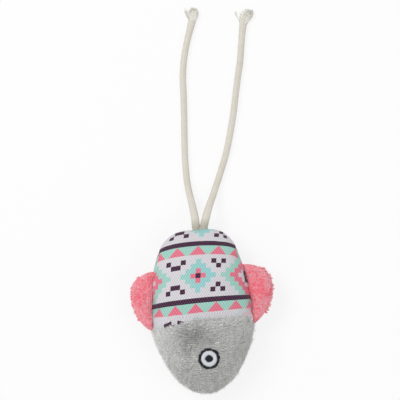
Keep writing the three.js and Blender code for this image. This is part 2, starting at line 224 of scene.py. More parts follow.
def bumped(shader, height, distance, strength):
    """Turns a height wire into the shader's normal; distance is the height of a full bump."""
    sockets = {"Height": height, "Distance": distance, "Strength": strength}
    feed(shader, "Normal", height.node("ShaderNodeBump", None, sockets))


print("helpers for colour, noise, bumps and new finishes are ready")

# %% Floor, world and lamps
floor_size, floor_grey, white_share = 3.0, 0.93, 0.8
room_light, lamp_aim = 0.62, Vector((0, 0.03, 0.01))

paper, shader, place = new_finish("white_paper", roughness=0.9, sheen=0.0)
shader.inputs["Base Color"].default_value = (floor_grey, floor_grey, floor_grey, 1)
seen, mirrored = (
    place.node("ShaderNodeLightPath", output=f"Is {kind} Ray") for kind in ("Camera", "Glossy")
)
white = place.math("MAXIMUM", seen, mirrored) * white_share
glow = place.node("ShaderNodeEmission", None, {"Color": (1, 1, 1, 1), "Strength": 1.0})
lit = Wire(paper.node_tree, shader.outputs[0])
mixed = place.node("ShaderNodeMixShader", None, {0: white, 1: lit, 2: glow})
feed(paper.node_tree.nodes["Material Output"], "Surface", mixed)

ground = np.array([[-1, -1, 0], [1, -1, 0], [1, 1, 0], [-1, 1, 0]]) * floor_size / 2
add_piece("floor", ground, np.array([[0, 1, 2, 3]]), paper)

world = bpy.data.worlds.new("soft_white_room")
world.use_nodes = True
world.node_tree.nodes["Background"].inputs["Color"].default_value = (1, 1, 1, 1)
world.node_tree.nodes["Background"].inputs["Strength"].default_value = room_light
bpy.context.scene.world = world


def soft_lamp(name, place, size, power):
    """A square lamp that looks at the middle of the toy."""
    lamp = bpy.data.lights.new(name, "AREA")
    lamp.size, lamp.energy = size, power
    holder = bpy.data.objects.new(name, lamp)
    holder.location = place
    holder.rotation_euler = (lamp_aim - Vector(place)).to_track_quat("-Z", "Y").to_euler()
    bpy.context.collection.objects.link(holder)


soft_lamp("key_lamp", place=(-0.55, 0.45, 0.9), size=0.5, power=4.6)
soft_lamp("fill_lamp", place=(0.6, -0.3, 0.9), size=0.8, power=1.6)
bpy.context.scene.view_settings.view_transform = "Standard"
print("floor, world and two lamps made")

# %% [markdown]
# ## Tail cord
# The tail is one braided cotton cord folded in half; both legs leave the body at the middle of its tail
# seam, drop to the table and lie in loose curves, and their ends are frayed. A curve with a bevel would
# give a smooth pipe. A tube worked out as an array can also be flattened where the seam pinches it and
# can carry the braid as real bumps. Its route repeats the points that the solids follow.

# %% Smooth path and tubes
path_fineness = 40
upright = np.array([0, 0, 1.0])


def unit(vectors):
    """Vectors of the same direction with a length of 1."""
    return vectors / np.maximum(np.linalg.norm(vectors, axis=-1, keepdims=True), 1e-12)


def length_along(points):
    """How far each point of a line is from its start, along the line."""
    return np.concatenate([[0], np.cumsum(np.linalg.norm(np.diff(points, axis=0), axis=1))])


def smooth_path(points, count):
    """A curve through every point, each stretch a cubic whose end slopes are half the step between its
    neighbours, cut into even steps. Returns the points and the length."""
    ends = np.vstack([2 * points[0] - points[1], points, 2 * points[-1] - points[-2]])
    share = np.linspace(0, len(points) - 1, path_fineness * len(points))
    first = np.minimum(share.astype(int), len(points) - 2)
    f = (share - first)[:, None]
    a, b, c, d = (ends[first + step] for step in range(4))
    curve = b + 0.5 * ((c - a) * f + (2 * a - 5 * b + 4 * c - d) * f**2 + (3 * (b - c) + d - a) * f**3)
    run = length_along(curve)
    even = np.linspace(0, run[-1], count)
    return np.stack([np.interp(even, run, curve[:, axis]) for axis in range(3)], axis=1), run[-1]


def tubes(paths, wide, high, up, sides, relief=1.0):
    """Carries an ellipse along many paths at once: point = path + (wide cos(turn) side + high sin(turn) up)
    x relief, with side and up square to the path. Paths is (tubes, steps, 3); wide, high and relief can vary
    along it. Both ends are closed. Returns points and triangles."""
    count, steps = paths.shape[:2]
    along = unit(np.gradient(paths, axis=1))
    side = unit(np.cross(along, np.broadcast_to(up, paths.shape)))
    lift = np.cross(side, along)
    turn = np.linspace(0, 2 * np.pi, sides, endpoint=False)
    wide = np.broadcast_to(wide, (count, steps))[..., None, None] * np.cos(turn)[:, None]
    high = np.broadcast_to(high, (count, steps))[..., None, None] * np.sin(turn)[:, None]
    around = wide * side[:, :, None] + high * lift[:, :, None]
    points = paths[:, :, None] + around * np.asarray(relief)[..., None]
    ring = np.arange(sides)
    after = (ring + 1) % sides
    base = (np.arange(steps - 1) * sides)[:, None]
    low = np.stack([base + ring, base + after, base + sides + after], axis=-1)
    top = np.stack([base + ring, base + sides + after, base + sides + ring], axis=-1)
    fan = np.stack([np.zeros(sides - 2, int), ring[1:-1], ring[2:]], axis=-1)
    caps = np.vstack([fan[:, ::-1], fan + (steps - 1) * sides])
    one = np.vstack([low.reshape(-1, 3), top.reshape(-1, 3), caps])
    faces = one[None] + (np.arange(count) * steps * sides)[:, None, None]
    return points.reshape(-1, 3), faces.reshape(-1, 3)[:, ::-1]


print("tubes can follow many paths at once")

# %% Route of the two strands
table_gap = 0.05 * mm
cord_diameter = 3.8 * mm
cord_radius = cord_diameter / 2
cord_spacing, cord_middle = 4.8 * mm, 1.7 * mm
cord_rest = cord_radius + table_gap
root_y = joint_at["left_cord_lift"].y

# Sideways and outwards from the root in millimetres, then the share of the drop from seam to table
left_run = [
    (0, 0, 1), (-0.2, 4.5, 0.94), (-0.9, 9.7, 0.75), (-1.8, 15.2, 0.45), (-2.8, 20.5, 0.2),
    (-3.5, 26, 0.05), (-3.9, 31.5, 0), (-4, 43.5, 0), (-3.6, 55, 0), (-3, 67, 0), (-2.6, 79, 0),
    (-2.3, 91, 0), (-1, 101, 0), (1.2, 110.5, 0), (4.1, 120, 0), (5.4, 124, 0),
]
right_run = [
    (0, 0, 1), (1.3, 4.2, 0.94), (3, 9.1, 0.75), (5.1, 14.4, 0.45), (7.3, 19.6, 0.2),
    (9.4, 25, 0.05), (11.6, 30.5, 0), (15.8, 42, 0), (19.2, 54.5, 0), (21.8, 66, 0), (23.8, 77, 0),
    (26, 88.5, 0), (27.9, 98, 0), (29.3, 108.5, 0), (30.7, 118, 0), (31.5, 121.6, 0),
]


def strand_route(side, run):
    """Points of a strand: its root beside the middle of the tail, moved by each step of its run."""
    across, out, share = np.array(run, float).T
    x = cord_middle + side * cord_spacing / 2 + across * mm
    return np.stack([x, root_y + out * mm, cord_rest + share * (seam_z - cord_rest)], axis=1)


routes = {"left": strand_route(-1, left_run), "right": strand_route(1, right_run)}
print("strand points:", {name: len(route) for name, route in routes.items()})

# %% Cotton cord finish
cotton_root, root_fade = colour(186, 180, 166), 5 * mm
slow_spots, fibre_spots, fibre_bump = 160.0, 2600.0, 0.12 * mm
slow_tone, fibre_tone, paler = 0.7, 0.5, 0.25


def cotton_finish(name, pale, shade):
    """Cotton: fine fibres as small bumps, slow changes of tone, and a greyer root at the seam."""
    material, shader, place = new_finish(name, roughness=0.95, sheen=0.25)
    fibres = noise(place, fibre_spots, detail=3.0)
    cream = over(noise(place, slow_spots) * slow_tone + fibres * fibre_tone - paler, pale, shade)
    at_root = ((root_y + root_fade - axes(place)[1]) / root_fade).clipped(0.0, 1.0)
    feed(shader, "Base Color", over(at_root, cream, cotton_root))
    bumped(shader, fibres, fibre_bump, strength=0.7)
    return material


cotton_cord = cotton_finish("cotton_cord", colour(228, 223, 213), colour(203, 196, 182))
print("finish made:", cotton_cord.name)

# %% Braided strands
strand_steps, strand_sides = 420, 32
cap_steps, cap_tip = 6, 0.06
braid_height, braid_pitch, braid_turns = 0.13 * mm, 1.7 * mm, 4
pinch_length = 16 * mm
pinch_width, pinch_height = 1.24, 0.8
flare_length, flare = 14 * mm, 0.22


def braid_relief(run):
    """Share by which the braid raises the surface: two families of yarns wind opposite ways, and the
    product of their two waves is a net of small diamonds."""
    turn = np.linspace(0, 2 * np.pi, strand_sides, endpoint=False)[None, :] * braid_turns
    wind = (run * np.pi / braid_pitch)[:, None]
    return 1 + braid_height / cord_radius * np.cos(turn + wind) * np.cos(turn - wind)


def make_strand(name, route):
    """A tube along the route: flattened at the seam, a little wider at its loose end, round at its root."""
    path, length = smooth_path(route, strand_steps)
    back = np.cos(np.linspace(0, np.pi / 2, cap_steps + 1))[:-1, None]
    cap = path[0] - unit(path[1] - path[0]) * cord_radius * back
    run = np.linspace(0, length, strand_steps)
    pinch = np.exp(-((run / pinch_length) ** 2))
    open_end = flare * np.clip(1 - (length - run) / flare_length, 0, 1) ** 2
    round_end = np.sin(np.linspace(cap_tip, np.pi / 2, cap_steps + 1))[:-1]
    wide = np.concatenate([round_end * pinch_width, 1 + (pinch_width - 1) * pinch + open_end]) * cord_radius
    high = np.concatenate([round_end * pinch_height, 1 + (pinch_height - 1) * pinch]) * cord_radius
    relief = braid_relief(np.concatenate([np.zeros(cap_steps), run]))
    line = np.vstack([cap, path])
    points, faces = tubes(line[None], wide[None], high[None], upright, strand_sides, relief[None])
    return add_piece(name, points, faces, cotton_cord), path, length


strands = {side: make_strand(f"{side}_strand", routes[side]) for side in routes}
print("strand lengths in mm:", {side: round(made[2] / mm, 1) for side, made in strands.items()})

# %% [markdown]
# ### Frayed ends
# The cut ends have opened into soft blunt tufts. Yarns alone would leave dark gaps between them, so each
# tuft has a closed core, and its yarns lie over that core as thin tubes and end unevenly past it. A seeded
# generator spreads them, so every run gives the same tuft.

# %% Frayed ends
fray_length, fray_hold, end_steps = 7 * mm, 1.5 * mm, 6
fray_yarns, fray_steps, core_sides, yarn_sides = 220, 8, 18, 4
yarn_radius, yarn_curl, yarn_taper, lean_power = 0.14 * mm, 0.35 * mm, 0.4, 1.6
yarn_reach, yarn_loose, yarn_up = (0.8, 1.1), (-0.14, 0.05), (0.1, 0.2, 1)
wisp_share, wisp_reach, wisp_fan, wisp_aside = 0.07, 0.8, 0.2, (2.6, 4.6)
tuft_wide = cord_radius * np.array([0.95, 1.05, 1.25, 1.45, 1.55, 1.5, 1.25, 0.7])
tuft_high = cord_radius * np.array([0.85, 0.9, 0.95, 0.95, 0.9, 0.8, 0.6, 0.3])
frayed_cotton = cotton_finish("frayed_cotton", colour(241, 240, 232), colour(220, 217, 206))


def make_fray(name, path, lean, fan, seed):
    """Place of a yarn = end + far t along + (lean t^power + fan x tuft's width x cos(angle)) sideways +
    tuft's height x sin(angle) up. A few are wisps that stand off to the left."""
    rng = np.random.default_rng(seed)
    each = (fray_yarns, 1)
    along = unit(path[-1] - path[-end_steps])
    side = unit(np.cross(along, upright))
    start, reach = path[-1] - along * fray_hold, fray_length + fray_hold
    t = np.linspace(0, 1, fray_steps)
    core = start + reach * t[:, None] * along + lean * t[:, None] ** lean_power * side
    core_points, core_faces = tubes(core[None], fan * tuft_wide, tuft_high, upright, core_sides)
    far = t * rng.uniform(*yarn_reach, each)
    loose = rng.uniform(*yarn_loose, each) * mm
    wisp = rng.random(each) < wisp_share
    angle = rng.uniform(0, 2 * np.pi, each)
    angle = np.where(wisp, np.pi + wisp_fan * (angle - np.pi), angle)
    aside = np.where(wisp, -rng.uniform(*wisp_aside, each) * mm, lean) * far**lean_power
    curl = rng.normal(0, yarn_curl, (fray_yarns, 2))
    wide, high = fan * np.interp(far, t, tuft_wide) + loose, np.interp(far, t, tuft_high) + loose
    sideways = aside + wide * np.cos(angle) + curl[:, :1] * far**2
    upwards = high * np.sin(angle) + curl[:, 1:] * far**2
    lines = start + (reach * np.where(wisp, wisp_reach, 1) * far)[..., None] * along
    lines = lines + sideways[..., None] * side + upwards[..., None] * upright
    lines[..., 2] = np.maximum(lines[..., 2], yarn_radius)
    thin = yarn_radius * (1 - yarn_taper * t)
    points, faces = tubes(lines, thin, thin, yarn_up, yarn_sides)
    faces = np.vstack([faces, core_faces + len(points)])
    return add_piece(name, np.vstack([points, core_points]), faces, frayed_cotton)


frays = {
    "left": make_fray("left_fray", strands["left"][1], lean=-0.5 * mm, fan=1.0, seed=11),
    "right": make_fray("right_fray", strands["right"][1], lean=2.1 * mm, fan=1.25, seed=23),
}
print("yarns in each frayed end:", fray_yarns)

# %% Frayed ends join the cord bodies
swing_length, lead_steps = 4 * mm, 40


def join(piece, slot_name, *nodes, body="toy_body"):
    """The piece rides on a body and stands for its CAD nodes. The slot name is not used."""
    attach(piece, body)
    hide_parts(*nodes)


for side, (strand, path, length) in strands.items():
    base, free = f"{side}_cord_base", f"{side}_cord"
    ahead = Vector(path[lead_steps] - path[0]).normalized() * swing_length
    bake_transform(strand)
    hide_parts(f"{side}_cord_root", f"{side}_tail_cord")
    join(frays[side], "cotton_cord", f"{side}_frayed_tip", body=free)

# %% Fold of the cord
fold_wide, fold_high, fold_turn_y = 2.25 * mm, 1.5 * mm, 43.1 * mm
turn_points, fold_steps, fold_sides = 15, 120, 24


def make_fold():
    """A tube along both legs and the half turn between them, which is sewn into the tail seam. Its legs run
    on to the roots of the strands, which turn over its ends."""
    bend = np.linspace(np.pi, 2 * np.pi, turn_points)
    turn_x = cord_middle + cord_spacing / 2 * np.cos(bend)
    turn_y = fold_turn_y + cord_spacing / 2 * np.sin(bend)
    x = np.concatenate([[turn_x[0]], turn_x, [turn_x[-1]]])
    y = np.concatenate([[root_y], turn_y, [root_y]])
    line = smooth_path(np.stack([x, y, np.full_like(x, seam_z)], axis=1), fold_steps)[0]
    fold = tubes(line[None], fold_wide, fold_high, upright, fold_sides)
    join(add_piece("cord_fold", *fold, cotton_cord), "cotton_cord", "tail_cord_fold")


make_fold()
print("fold sewn in between", [round(v / mm, 1) for v in (fold_turn_y, root_y)], "mm")

# %% [markdown]
# ## Body cover
# The cover is four cloth panels, printed ones behind the neck and plush ones for the head, sewn inside out,
# turned and stuffed. A sphere pushed into shape would have no seams. Here each panel is a grid stretched
# between its own sewn edges, raised by the swell of the filling, and a cloth simulation then lets the
# stuffed panels settle between their seams.

# %% Outline of the body
half_width = 30.7 * mm
widest_y, thickest_y = -11.5 * mm, 2 * mm
front_height, back_depth = 17 * mm, 15 * mm
tail_round, nose_round = (3.5, 2.2), (2.0, 1.5)
neck_middle, neck_slope, neck_arch = -5.4 * mm, 0.09, 3 * mm
fullness, shoulder = 2.4, 0.62
body_middle = np.array([0, thickest_y])


def right_outline(steps=800):
    """Superellipse arcs from the tail down the right side to the nose: x = w sin^(2/p), y = h cos^(2/q)."""
    turn = np.linspace(0, np.pi / 2, steps)
    sine, cosine = np.sin(turn), np.clip(np.cos(turn), 0, 1)
    arcs = []
    for (across, along), x, y, end_y in (
        (tail_round, sine, cosine, tail_y),
        (nose_round, cosine, sine, nose_y),
    ):
        x = half_width * x ** (2 / across)
        y = widest_y + (end_y - widest_y) * y ** (2 / along)
        arcs.append(np.stack([x, y], axis=1))
    return np.vstack([arcs[0], arcs[1][1:]])


side_line = right_outline()
side_run = length_along(side_line)
body_outline = np.vstack([side_line, (side_line * [-1, 1])[-2:0:-1]])


def on_outline(run):
    """A point on the outline at a run from the tail: positive on the right side, negative on the left."""
    run = np.asarray(run)
    x = np.interp(np.abs(run), side_run, side_line[:, 0]) * np.sign(run)
    return np.stack([x, np.interp(np.abs(run), side_run, side_line[:, 1])], axis=-1)


def outline_share(x, y, outline, middle):
    """0 at the middle and 1 on the outline, along straight lines from the middle."""
    away = outline - middle
    reach = np.hypot(away[:, 0], away[:, 1])
    angle = np.arctan2(away[:, 1], away[:, 0])
    here = np.arctan2(y - middle[1], x - middle[0])
    share = np.hypot(x - middle[0], y - middle[1]) / np.interp(here, angle, reach, period=2 * np.pi)
    return np.clip(share, 0, 1)


def swell(x, y):
    """Height of the stuffed cover as a share of its greatest height: (1 - share^fullness)^shoulder, where
    the share is that of the way from the middle to the outline."""
    return (1 - outline_share(x, y, body_outline, body_middle) ** fullness) ** shoulder


def neck_y(x):
    """Place of the neck seam along the toy: middle + slope x - arch (x / half width)^2."""
    return neck_middle + neck_slope * x - neck_arch * (x / half_width) ** 2


print("length of half the outline in mm:", round(side_run[-1] / mm, 1))

# %% Panels between their seams
panel_columns, body_rows, head_rows = 72, 60, 46
tail_corner, nose_corner = 30 * mm, 26 * mm
crowding = 0.7


def crowded(count, start, end):
    """Shares from 0 to 1 that lie closer together at a start or end where the cloth turns steeply down."""
    even = np.linspace(0, 1, count)
    if start and end:
        bent = 0.5 - 0.5 * np.cos(np.pi * even)
    else:
        bent = np.sin(np.pi / 2 * even) if end else 1 - np.cos(np.pi / 2 * even)
    return (1 - crowding) * even + crowding * bent


def between_edges(bottom, right, top, left, s, t):
    """A patch between four edges: the ruling between left and right, plus that between bottom and top, less
    the flat patch of the four corners. s and t are the shares at which the edges' points lie."""
    s, t = s[None, :, None], t[:, None, None]
    across = (1 - s) * left[:, None] + s * right[:, None]
    along = (1 - t) * bottom[None] + t * top[None]
    low = (1 - s) * bottom[0] + s * bottom[-1]
    high = (1 - s) * top[0] + s * top[-1]
    return across + along - (1 - t) * low - t * high


def neck_run(side):
    """How far down the outline the neck seam meets a side."""
    gap = side_line[:, 1] - neck_y(side * side_line[:, 0])
    return np.interp(0, -gap, side_run)


neck_left, neck_right, nose_run = neck_run(-1), neck_run(1), side_run[-1]
columns = crowded(panel_columns, True, True)
neck_ends = on_outline([-neck_left, neck_right])
neck_x = neck_ends[0, 0] + columns * (neck_ends[1, 0] - neck_ends[0, 0])
neck_line = np.stack([neck_x, neck_y(neck_x)], axis=1)
neck_line[[0, -1]] = neck_ends

rows = crowded(body_rows, False, True)
body_plan = between_edges(
    neck_line,
    on_outline(neck_right + rows * (tail_corner - neck_right)),
    on_outline((2 * columns - 1) * tail_corner),
    on_outline(-neck_left + rows * (neck_left - tail_corner)),
    columns, rows,
)
rows = crowded(head_rows, True, False)
nose_half = (2 * columns - 1) * nose_corner
head_plan = between_edges(
    on_outline(np.where(nose_half < 0, -1, 1) * (nose_run - np.abs(nose_half))),
    on_outline(nose_run - nose_corner + rows * (neck_right - nose_run + nose_corner)),
    neck_line,
    on_outline(-(nose_run - nose_corner) - rows * (neck_left - nose_run + nose_corner)),
    columns, rows,
)
print("panel grids:", body_plan.shape[:2], head_plan.shape[:2])

# %% Swell of the panels
seam_groove, groove_width = 0.7 * mm, 1.3 * mm
outline_ease, ease_power = 0.35 * mm, 6
neck_dip, neck_dip_width = 1.2 * mm, {"plush": 2.0 * mm, "printed": 4.5 * mm}
pile_depth, pile_fade = 0.8 * mm, 3 * mm
head_slimmer, nose_power = 0.6 * mm, 4
tail_shift, tail_fade = -1.0 * mm, 2.5


def swollen(plan, height, cloth):
    """Lifts a flat plan to seam + height x swell. The edge seam draws the cloth in, the neck seam draws it
    down, and the plush skin lies a pile's depth below the outside of the toy."""
    x, y = plan[..., 0], plan[..., 1]
    from_neck = y - neck_y(x)
    dip = neck_dip * np.exp(-((from_neck / neck_dip_width[cloth]) ** 2))
    inset = pile_depth * np.clip(-from_neck / pile_fade, 0, 1) if cloth == "plush" else 0
    rise = height * swell(x, y) * (1 - (dip + inset) / abs(height))
    drawn = outline_ease - seam_groove * np.exp(-((rise / groove_width) ** 2)) - inset
    if cloth == "plush":
        cheek = np.clip((neck_middle - y) / (neck_middle - nose_y), 0, 1)
        drawn = drawn - head_slimmer * np.sin(np.pi * cheek) + inset * cheek**nose_power
    away = plan - body_middle
    drawn = drawn * outline_share(x, y, body_outline, body_middle) ** ease_power
    plan = plan + away * (drawn / np.maximum(np.hypot(away[..., 0], away[..., 1]), mm))[..., None]
    toward_tail = np.clip((y - thickest_y) / (tail_y - thickest_y), 0, 1)
    shift = tail_shift * np.sin(np.pi / 2 * toward_tail) * np.clip(tail_fade * (1 - toward_tail), 0, 1)
    return np.stack([plan[..., 0] + shift, plan[..., 1], np.maximum(seam_z + rise, table_gap)], axis=-1)


panels = {
    "printed_front": swollen(body_plan, front_height, "printed"),
    "printed_back": swollen(body_plan, -back_depth, "printed"),
    "plush_front": swollen(head_plan, front_height, "plush"),
    "plush_back": swollen(head_plan, -back_depth, "plush"),
}
print("cover points:", sum(grid.shape[0] * grid.shape[1] for grid in panels.values()))

# %% [markdown]
# ## Fins
# Each fin is a small leaf-shaped pillow of terry, sewn into the side seam along its straight edge. It is
# made like the body: two grids between the straight edge and the rounded rim. The straight edge is hidden
# in the seam, and the plump cloth beside it presses against the flank of the body.

# %% Fin pillows
fin_reach, fin_tip, fin_half = 13 * mm, 4 * mm, 17.85 * mm
fin_root, fin_height = 3.2 * mm, 4.5 * mm
fin_fullness, fin_root_fullness = 2.4, 5.0
fin_tail_round, fin_nose_round = (1.8, 2.0), (1.6, 1.6)
loop_depth, rim_depth = 0.7 * mm, 1.6 * mm
fin_sides = {"left": -1, "right": 1}
fin_shift, fin_draw = {"left": -1.1 * mm, "right": 0}, {"left": 0.94, "right": 0.99}
fin_rows, fin_columns, fin_corner, fin_thickest = 20, 44, 0.22, 0.45


def fin_rim(steps=400):
    """The rounded rim from the nose end to the tail end, as out and along from the hinge line."""
    turn = np.linspace(-np.pi / 2, np.pi / 2, steps)
    tail = turn > 0
    power = np.where(tail, fin_tail_round[0], fin_nose_round[0])
    out = (fin_reach + fin_root - rim_depth) * np.clip(np.cos(turn), 0, 1) ** (2 / power)
    power = np.where(tail, fin_tail_round[1], fin_nose_round[1])
    length = np.where(tail, fin_half - fin_tip, fin_half + fin_tip)
    along = np.sign(turn) * length * np.abs(np.sin(turn)) ** (2 / power)
    return np.stack([out - fin_root, fin_tip + along], axis=1)


rim = fin_rim()
rim_run = length_along(rim) / length_along(rim)[-1]


def on_rim(share):
    """A point at a share of the rim's length."""
    return np.stack([np.interp(share, rim_run, rim[:, axis]) for axis in (0, 1)], axis=-1)


across = np.linspace(0, 1, fin_columns)
outwards = crowded(fin_rows, False, True)
root_along = rim[0, 1] + across * (rim[-1, 1] - rim[0, 1])
root_line = np.stack([np.full(fin_columns, -fin_root), root_along], axis=1)
fin_plan = between_edges(
    root_line,
    on_rim(1 - outwards * fin_corner),
    on_rim(fin_corner + across * (1 - 2 * fin_corner)),
    on_rim(outwards * fin_corner),
    across, outwards,
)
fin_outline = np.vstack([rim, root_line[-2:0:-1]])
fin_middle = np.array([fin_thickest * fin_reach, fin_tip / 2])
fin_axis = next(joint["axis"] for joint in frame["joints"] if joint["name"] == "right_fin_flap")


def fin_grid(name, sense):
    """Lifts the fin's plan to a thin pillow and turns it to its place beside the body."""
    side, hinge = fin_sides[name], joint_at[f"{name}_fin_flap"]
    out, along = fin_plan[..., 0], fin_plan[..., 1]
    share = outline_share(out, along, fin_outline, fin_middle)
    beside = np.clip(1 - out / fin_middle[0], 0, 1)
    power = fin_fullness + (fin_root_fullness - fin_fullness) * beside
    rise = sense * (fin_height - loop_depth) * (1 - share**power) ** shoulder
    out_x, out_y = -fin_axis[1], fin_axis[0]
    out, along = np.where(out > 0, out * fin_draw[name], out), along + fin_shift[name]
    x = hinge.x + side * (out * out_x - along * out_y)
    y = hinge.y + out * out_y + along * out_x
    return np.stack([x, y, seam_z + rise], axis=-1)


fins = {(name, sense): fin_grid(name, sense) for name in fin_sides for sense in (1, -1)}
print("fin grids:", len(fins), "of", fin_plan.shape[:2])

# %% [markdown]
# ## Stuffing the cloth
# The simulation takes the cover and both fins at once, joined along their seams. The seams and the stiff
# embroidered eye are pinned. Pressure pushes the panels out and a little spare cloth puckers beside the
# seams. The solver is steadiest on larger things, so it works on a copy five times as big.

# %% Grids sewn together
merge_step = 0.01 * mm


def up_sign(grid):
    """1 if (column step) x (row step) of a grid points up, -1 if it points down."""
    return np.sign(np.cross(grid[0, -1] - grid[0, 0], grid[-1, 0] - grid[0, 0])[2])


def facing(grid, sense):
    """Quads of a grid, turned to face up for a sense of 1 and down for -1."""
    rows, columns = grid.shape[:2]
    first = np.arange(rows - 1)[:, None] * columns + np.arange(columns - 1)[None, :]
    quads = np.stack([first, first + 1, first + columns + 1, first + columns], axis=-1).reshape(-1, 4)
    return quads if sense * up_sign(grid) > 0 else quads[:, ::-1]


def joined(grids):
    """One list of points and quads from grids that face up and down by turns; points that coincide become
    one. Also returns, for every grid point, its number in that list."""
    stacked = np.vstack([grid.reshape(-1, 3) for grid in grids])
    keys = np.round(stacked / merge_step).astype(np.int64)
    first, number = np.unique(keys, axis=0, return_index=True, return_inverse=True)[1:]
    starts = np.cumsum([0] + [grid.shape[0] * grid.shape[1] for grid in grids[:-1]])
    quads = [facing(grid, (-1) ** order) + starts[order] for order, grid in enumerate(grids)]
    number = number.ravel()
    return stacked[first], number[np.vstack(quads)], number


print("points that agree to", merge_step / mm, "mm are sewn together")

# %% Cloth simulation
trial_scale, trial_frames = 5.0, 20
spare_cloth, stuffing = 0.035, 3.0
most_movement = 1.6 * mm
eye_x, eye_y, eye_radius = 2.4 * mm, -28.2 * mm, 6.3 * mm
cloth_settings = {
    "quality": 6, "mass": 0.12, "tension_stiffness": 12, "compression_stiffness": 12,
    "bending_stiffness": 0.25, "use_pressure": True, "uniform_pressure_force": stuffing,
    "shrink_min": -spare_cloth, "vertex_group_mass": "sewn",
}


def sewn(grid):
    """True on the grid's four edges and under the eye."""
    mask = np.zeros(grid.shape[:2], bool)
    mask[[0, -1], :] = mask[:, [0, -1]] = True
    return mask | (np.hypot(grid[..., 0] - eye_x, grid[..., 1] - eye_y) < eye_radius + mm)


def stuffed(grids):
    """Runs the cloth on the joined grids and returns each grid with its points moved, by a capped amount."""
    points, quads, number = joined(grids)
    held = np.zeros(len(points), bool)
    np.logical_or.at(held, number, np.concatenate([sewn(grid).ravel() for grid in grids]))
    trial = add_piece("cloth_trial", points * trial_scale, quads)
    trial.vertex_groups.new(name="sewn").add(np.flatnonzero(held).tolist(), 1.0, "REPLACE")
    cloth = trial.modifiers.new("cloth", "CLOTH")
    for name, value in cloth_settings.items():
        setattr(cloth.settings, name, value)
    cloth.settings.effector_weights.gravity = 0
    cloth.collision_settings.use_collision = False
    cloth.point_cache.frame_start, cloth.point_cache.frame_end = 1, trial_frames
    for trial_frame in range(1, trial_frames + 1):
        bpy.context.scene.frame_set(trial_frame)
    done = trial.evaluated_get(bpy.context.evaluated_depsgraph_get()).to_mesh()
    moved = np.empty(len(points) * 3, np.float32)
    done.vertices.foreach_get("co", moved)
    bpy.data.objects.remove(trial)
    bpy.context.scene.frame_set(1)
    shift = moved.reshape(-1, 3).astype(float) / trial_scale - points
    size = np.linalg.norm(shift, axis=1, keepdims=True)
    shift *= most_movement * np.tanh(size / most_movement) / np.maximum(size, 1e-9)
    print("cloth moved by up to", round(size.max() / mm, 2), "mm, kept to", round(most_movement / mm, 2))
    after = (points + shift)[number]
    after[:, 2] = np.maximum(after[:, 2], table_gap)
    ends = np.cumsum([grid.shape[0] * grid.shape[1] for grid in grids])[:-1]
    return [part.reshape(grid.shape) for part, grid in zip(np.split(after, ends), grids)]


settled = stuffed([*panels.values(), *fins.values()])
panels = dict(zip(panels, settled[: len(panels)]))
fins = dict(zip(fins, settled[len(panels) :]))

# %% [markdown]
# ## Printed cotton
# The print is a charted pattern, like knitting: cells of about 3 mm, 24 to a repeat across and 12 along,
# with stepped diamonds, three-square marks and a stripe over a row of triangles. A picture would blur.
# Instead each panel carries its chart position as a UV map, and the finish works out each cell's colour.
# The UV follows the cloth, measured along its surface, so the print bends with the stuffing.

# %% Chart position on the cloth
chart_cell = 2.96 * mm
chart_u, chart_v, chart_start_y, chart_margin = -0.52 * mm, 28.5 * mm, -6 * mm, 8 * mm
table_columns, table_rows, table_inset = 301, 341, 1.001
column_lean, along_stretch = 0.115, 1.045
row_tilt, row_tilt_change = 0.055, -1.1
row_arch, row_arch_change = -0.2, 110.0
pucker_along, pucker_wide, pucker_long, pucker_pitch = -9.7, 3.2, 1.5, 3.4
# Column of each pucker, then how far it draws the rows in, bends them down and widens the cells
puckers = [(-4.5, 0, 0.42, 0.5), (4, 0.8, 0, 0)]


def looked_up(table, column, row):
    """Values between the entries of a table: the mean of the four around a place, by nearness."""
    left, below = column.astype(int), row.astype(int)
    across, along = column - left, row - below
    low, high = (
        table[line, left] * (1 - across) + table[line, left + 1] * across for line in (below, below + 1)
    )
    return low * (1 - along) + high * along


def chart_position(x, y, height):
    """Column and row of the chart at places of the panel: u runs along the surface across the body, v along
    it from beside the neck; columns lean, rows tilt and arch a little, as the panel was cut and stretched,
    and the neck seam puckers the lowest rows."""
    table_x = np.linspace(-half_width, half_width, table_columns)
    table_y = np.linspace(chart_start_y - chart_margin, tail_y, table_rows)
    grid_x, grid_y = np.meshgrid(table_x, table_y)
    rise = height * swell(grid_x, grid_y)
    u, v = np.zeros_like(rise), np.zeros_like(rise)
    u[:, 1:] = np.cumsum(np.hypot(np.diff(grid_x, axis=1), np.diff(rise, axis=1)), axis=1)
    u -= u[:, [table_columns // 2]]
    v[1:] = np.cumsum(np.hypot(np.diff(grid_y, axis=0), np.diff(rise, axis=0)), axis=0)
    v -= v[[np.searchsorted(table_y, chart_start_y)]]
    column = np.clip((x - table_x[0]) / (table_x[1] - table_x[0]), 0, table_columns - table_inset)
    row = np.clip((y - table_y[0]) / (table_y[1] - table_y[0]), 0, table_rows - table_inset)
    u, v = looked_up(u, column, row), looked_up(v, column, row) * along_stretch
    across = u - chart_u - column_lean * (v - chart_v)
    along = v - chart_v - (row_tilt + row_tilt_change * v) * u + (row_arch + row_arch_change * v) * u**2
    across, along = across / chart_cell, along / chart_cell
    for pucker_column, drawn, bent, widened in puckers:
        aside = across - pucker_column
        near = np.exp(-((aside / pucker_wide) ** 4) - ((along - pucker_along) / pucker_long) ** 4)
        across = across + near * widened * np.sin(aside * (2 * np.pi / pucker_pitch))
        along = along + near * (drawn + bent * np.abs(aside))
    return np.stack([across, along], axis=-1)


charts = {
    "front": chart_position(body_plan[..., 0], body_plan[..., 1], front_height),
    "back": chart_position(-body_plan[..., 0], body_plan[..., 1], back_depth),
}
print("chart columns on the front:", np.ptp(charts["front"][..., 0]).round(1))

